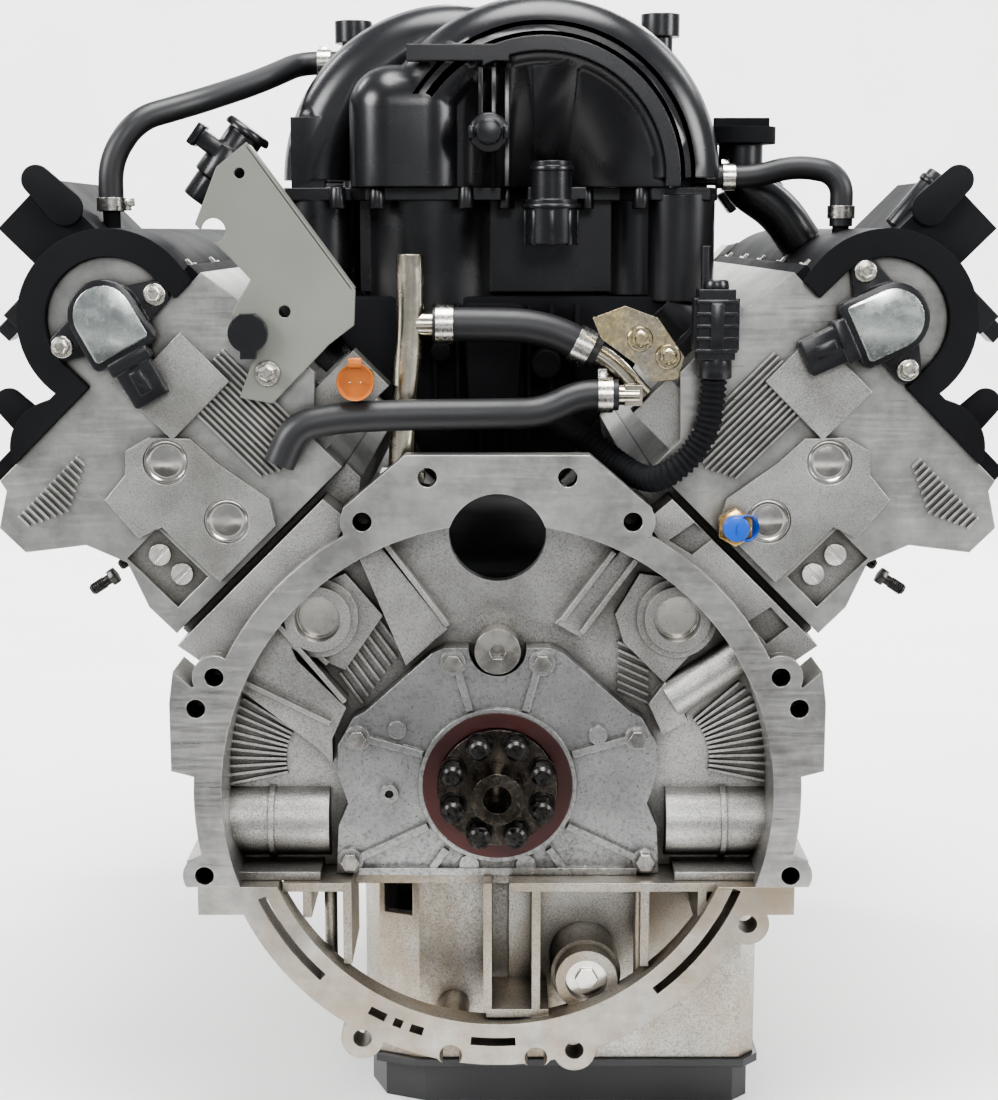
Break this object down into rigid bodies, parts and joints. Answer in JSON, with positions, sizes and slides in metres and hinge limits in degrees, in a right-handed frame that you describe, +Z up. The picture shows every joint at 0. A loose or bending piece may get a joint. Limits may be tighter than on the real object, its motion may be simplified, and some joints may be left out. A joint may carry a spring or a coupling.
{
  "type": "v8 engine",
  "caption": "Complete aluminium V engine with twin overhead camshafts per bank, black moulded intake, sump, open bell housing face and flywheel flange.",
  "frame": {"origin": "on the crankshaft axis, in the plane of the flange that the flywheel bolts to", "axes": "+Y from the flywheel end towards the front of the engine, +Z up, +X to the right of someone facing the flywheel end"},
  "size_m": [0.7234, 0.696, 0.8065],
  "materials": {
    "cast_aluminium": "as cast, lightly tumbled",
    "head_aluminium": "as cast, machined end faces",
    "machined_aluminium": "machined",
    "crank_steel": "ground steel, oiled",
    "bright_steel": "bare steel",
    "dark_bolt_steel": "dark phosphate",
    "zinc_yellow_steel": "yellow zinc plate",
    "grey_painted_steel": "satin",
    "black_painted_steel": "satin",
    "black_plastic": "satin moulded",
    "cover_black": "matt moulded",
    "hose_rubber": "matt",
    "seal_rubber": "matt",
    "gasket_steel": "coated",
    "orange_plastic": "moulded",
    "blue_plastic": "moulded",
    "piston_aluminium": "machined",
    "filter_paint": "gloss"
  },
  "bodies": {
    "engine": {"cylinder_block": "cast_aluminium", "block_plugs": "bright_steel", "rear_seal_retainer": "machined_aluminium", "retainer_bolts": "bright_steel", "rear_main_seal": "seal_rubber", "main_caps": "crank_steel", "head_left": "head_aluminium", "head_right": "head_aluminium", "head_core_plugs": "bright_steel", "head_gaskets": "gasket_steel", "cam_cover_left": "cover_black", "cam_cover_right": "cover_black", "phase_sensors": "black_plastic", "ignition_coils": "black_plastic", "timing_cover": "cast_aluminium", "oil_filter": "filter_paint", "sump_upper": "cast_aluminium", "sump_plugs": "bright_steel", "sump_lower_pan": "black_painted_steel", "intake_upper": "black_plastic", "intake_lower": "black_plastic", "throttle_body": "machined_aluminium", "cover_posts": "black_plastic", "purge_valve": "black_plastic", "oil_filler_neck": "black_plastic", "coolant_pipe": "zinc_yellow_steel", "heater_hose_upper": "hose_rubber", "heater_hose_lower": "hose_rubber", "heater_pipe": "zinc_yellow_steel", "breather_hose_left": "hose_rubber", "breather_hose_right": "hose_rubber", "harness_conduit": "black_plastic", "harness_connector": "black_plastic", "harness_bracket_left": "grey_painted_steel", "harness_clip": "black_plastic", "pipe_bracket_right": "zinc_yellow_steel", "coolant_sensor": "orange_plastic", "pressure_sensor": "blue_plastic"},
    "crank": {"crankshaft": "crank_steel", "flywheel_bolts": "dark_bolt_steel", "crank_sprocket": "crank_steel", "crank_pulley": "black_painted_steel", "crank_pulley_bolt": "dark_bolt_steel"},
    "throttle": {"throttle_plate": "bright_steel"},
    "filler_cap": {"oil_filler_cap": "cover_black"},
    "pump_pulley": {"water_pump_pulley": "black_painted_steel"},
    "cam_inlet_left": {"camshaft_inlet_left": "crank_steel"},
    "cam_exhaust_left": {"camshaft_exhaust_left": "crank_steel"},
    "piston_left_1": {"piston_left_1": "piston_aluminium"},
    "piston_left_2": {"piston_left_2": "piston_aluminium"},
    "piston_left_3": {"piston_left_3": "piston_aluminium"},
    "piston_left_4": {"piston_left_4": "piston_aluminium"},
    "cam_inlet_right": {"camshaft_inlet_right": "crank_steel"},
    "cam_exhaust_right": {"camshaft_exhaust_right": "crank_steel"},
    "piston_right_1": {"piston_right_1": "piston_aluminium"},
    "piston_right_2": {"piston_right_2": "piston_aluminium"},
    "piston_right_3": {"piston_right_3": "piston_aluminium"},
    "piston_right_4": {"piston_right_4": "piston_aluminium"}
  },
  "joints": [
    {"name": "crank_spin", "type": "hinge", "parent": "engine", "child": "crank", "pos_m": [0, 0, 0], "axis": [0, -1, 0], "continuous": true},
    {"name": "cam_inlet_left_spin", "type": "hinge", "parent": "engine", "child": "cam_inlet_left", "pos_m": [-0.25951, 0.25, 0.32456], "axis": [0, -1, 0], "continuous": true},
    {"name": "cam_exhaust_left_spin", "type": "hinge", "parent": "engine", "child": "cam_exhaust_left", "pos_m": [-0.29557, 0.25, 0.239], "axis": [0, -1, 0], "continuous": true},
    {"name": "piston_left_1_slide", "type": "slide", "parent": "engine", "child": "piston_left_1", "axis": [-0.7071, 0, 0.7071], "range_m": [-0.07506, 0.01694]},
    {"name": "piston_left_2_slide", "type": "slide", "parent": "engine", "child": "piston_left_2", "axis": [-0.7071, 0, 0.7071], "range_m": [-0.01001, 0.08199]},
    {"name": "piston_left_3_slide", "type": "slide", "parent": "engine", "child": "piston_left_3", "axis": [-0.7071, 0, 0.7071], "range_m": [-0.07506, 0.01694]},
    {"name": "piston_left_4_slide", "type": "slide", "parent": "engine", "child": "piston_left_4", "axis": [-0.7071, 0, 0.7071], "range_m": [-0.01001, 0.08199]},
    {"name": "cam_inlet_right_spin", "type": "hinge", "parent": "engine", "child": "cam_inlet_right", "pos_m": [0.25951, 0.25, 0.32456], "axis": [0, -1, 0], "continuous": true},
    {"name": "cam_exhaust_right_spin", "type": "hinge", "parent": "engine", "child": "cam_exhaust_right", "pos_m": [0.29557, 0.25, 0.239], "axis": [0, -1, 0], "continuous": true},
    {"name": "piston_right_1_slide", "type": "slide", "parent": "engine", "child": "piston_right_1", "axis": [0.7071, 0, 0.7071], "range_m": [-0.07506, 0.01694]},
    {"name": "piston_right_2_slide", "type": "slide", "parent": "engine", "child": "piston_right_2", "axis": [0.7071, 0, 0.7071], "range_m": [-0.07506, 0.01694]},
    {"name": "piston_right_3_slide", "type": "slide", "parent": "engine", "child": "piston_right_3", "axis": [0.7071, 0, 0.7071], "range_m": [-0.01001, 0.08199]},
    {"name": "piston_right_4_slide", "type": "slide", "parent": "engine", "child": "piston_right_4", "axis": [0.7071, 0, 0.7071], "range_m": [-0.01001, 0.08199]},
    {"name": "throttle_turn", "type": "hinge", "parent": "engine", "child": "throttle", "pos_m": [0, 0.5162, 0.449], "axis": [1, 0, 0], "range_deg": [0, 85], "stiffness_Nm_per_rad": 0.05, "springref_deg": -17.19},
    {"name": "filler_cap_turn", "type": "hinge", "parent": "engine", "child": "filler_cap", "pos_m": [0.178, 0.14, 0.45], "axis": [0, 0, 1], "range_deg": [0, 90]},
    {"name": "pump_pulley_spin", "type": "hinge", "parent": "engine", "child": "pump_pulley", "pos_m": [0, 0.57, 0.19], "axis": [0, -1, 0], "continuous": true}
  ],
  "couplings": [
    {"joint": "cam_inlet_left_spin", "follows": "crank_spin", "ratio": 0.5},
    {"joint": "cam_exhaust_left_spin", "follows": "crank_spin", "ratio": 0.5},
    {"joint": "cam_inlet_right_spin", "follows": "crank_spin", "ratio": 0.5},
    {"joint": "cam_exhaust_right_spin", "follows": "crank_spin", "ratio": 0.5}
  ]
}
